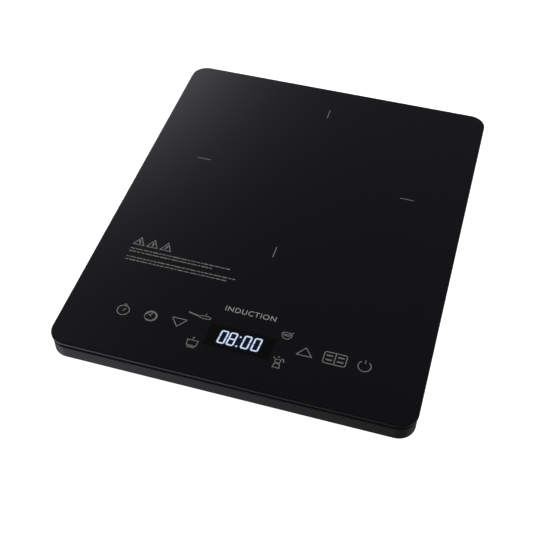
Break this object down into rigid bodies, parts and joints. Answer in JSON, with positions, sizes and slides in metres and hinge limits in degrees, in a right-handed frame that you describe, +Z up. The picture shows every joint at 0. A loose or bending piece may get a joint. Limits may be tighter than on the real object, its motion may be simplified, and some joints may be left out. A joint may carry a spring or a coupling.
{
  "type": "electric induction cooktop",
  "caption": "Flat portable cooktop: a black glass plate with touch keys and a lit clock on a shallow frame, coil, boards and blower inside, on rubber feet.",
  "frame": {"origin": "on the worktop, under the middle of the cooktop", "axes": "+Z up, -Y towards the cook (the touch keys), +X to the cook's right"},
  "size_m": [0.28, 0.35, 0.045],
  "materials": {
    "black_glass": "polished black glass-ceramic, ground edge",
    "black_silicone": "matt silicone bead",
    "frame_plastic": "dark moulded plastic, fine satin texture",
    "pan_plastic": "dark moulded plastic, matt texture",
    "foot_rubber": "matt rubber",
    "screw_steel": "zinc-plated steel",
    "mica": "pale mica laminate",
    "copper_wire": "enamelled copper litz",
    "former_plastic": "heat-resistant moulded plastic",
    "ferrite": "sintered dark grey ferrite",
    "white_silicone": "soft white silicone",
    "sensor_glass": "coated thermistor bead",
    "brass_block": "turned brass",
    "tinned_copper": "tin-plated copper",
    "board_laminate": "green-lacquered glass-fibre laminate",
    "capacitor_box": "grey moulded box",
    "capacitor_yellow": "yellow moulded box",
    "transformer_tape": "taped ferrite transformer",
    "chip_epoxy": "black moulded epoxy",
    "sink_aluminium": "extruded aluminium",
    "choke_wire": "lacquered copper wire on a ring core",
    "fuse_glass": "ceramic tube fuse",
    "varistor_blue": "dipped blue disc",
    "can_sleeve": "sleeved aluminium can",
    "buzzer_plastic": "black moulded case",
    "display_face": "smoked face of a lit display",
    "lamp_lens": "clear moulded lamp body",
    "spring_steel": "plated spring wire",
    "plug_plastic": "natural nylon",
    "ribbon_grey": "grey flat cable",
    "blower_plastic": "black moulded plastic",
    "bush_bronze": "oil-filled sintered bronze",
    "core_steel": "stacked steel laminations",
    "glass_ink": "fired grey ink printed on the glass",
    "display_light": "lit segments of the clock"
  },
  "bodies": {
    "cooktop": {"glass_top": "black_glass", "glass_adhesive": "black_silicone", "top_frame": "frame_plastic", "bottom_housing": "pan_plastic", "foot_front_left": "foot_rubber", "foot_front_right": "foot_rubber", "foot_rear_left": "foot_rubber", "foot_rear_right": "foot_rubber", "cord_gland": "foot_rubber", "case_screws": "screw_steel", "mica_sheet": "mica", "coil_winding": "copper_wire", "coil_former": "former_plastic", "ferrite_bars": "ferrite", "coil_screws": "screw_steel", "pan_sensor_cap": "white_silicone", "pan_thermistor": "sensor_glass", "coil_terminals": "brass_block", "coil_lugs": "tinned_copper", "lug_screws": "screw_steel", "power_board": "board_laminate", "board_screws": "screw_steel", "resonance_capacitor": "capacitor_box", "filter_capacitor": "capacitor_box", "mains_capacitor": "capacitor_yellow", "supply_transformer": "transformer_tape", "controller_chip": "chip_epoxy", "heat_sink": "sink_aluminium", "sink_screws": "screw_steel", "power_transistor": "chip_epoxy", "bridge_rectifier": "chip_epoxy", "noise_choke": "choke_wire", "filter_inductor": "choke_wire", "fuse": "fuse_glass", "fuse_clips": "tinned_copper", "varistor": "varistor_blue", "supply_capacitors": "can_sleeve", "buzzer": "buzzer_plastic", "mains_tabs": "tinned_copper", "control_bracket": "pan_plastic", "bracket_screws": "screw_steel", "control_board": "board_laminate", "control_screws": "screw_steel", "display_module": "display_face", "indicator_lamps": "lamp_lens", "touch_chip": "chip_epoxy", "touch_springs": "spring_steel", "ribbon_plugs": "plug_plastic", "ribbon_cable": "ribbon_grey", "blower_case": "blower_plastic", "blower_plate": "blower_plastic", "blower_screws": "screw_steel", "blower_bush": "bush_bronze", "blower_core": "core_steel", "motor_windings": "copper_wire"},
    "fan_rotor": {"blower_impeller": "blower_plastic", "blower_magnet": "ferrite", "blower_shaft": "screw_steel"}
  },
  "joints": [
    {"name": "fan_spin", "type": "hinge", "parent": "cooktop", "child": "fan_rotor", "pos_m": [0.072, -0.092, 0.015], "axis": [0, 0, 1], "continuous": true}
  ]
}
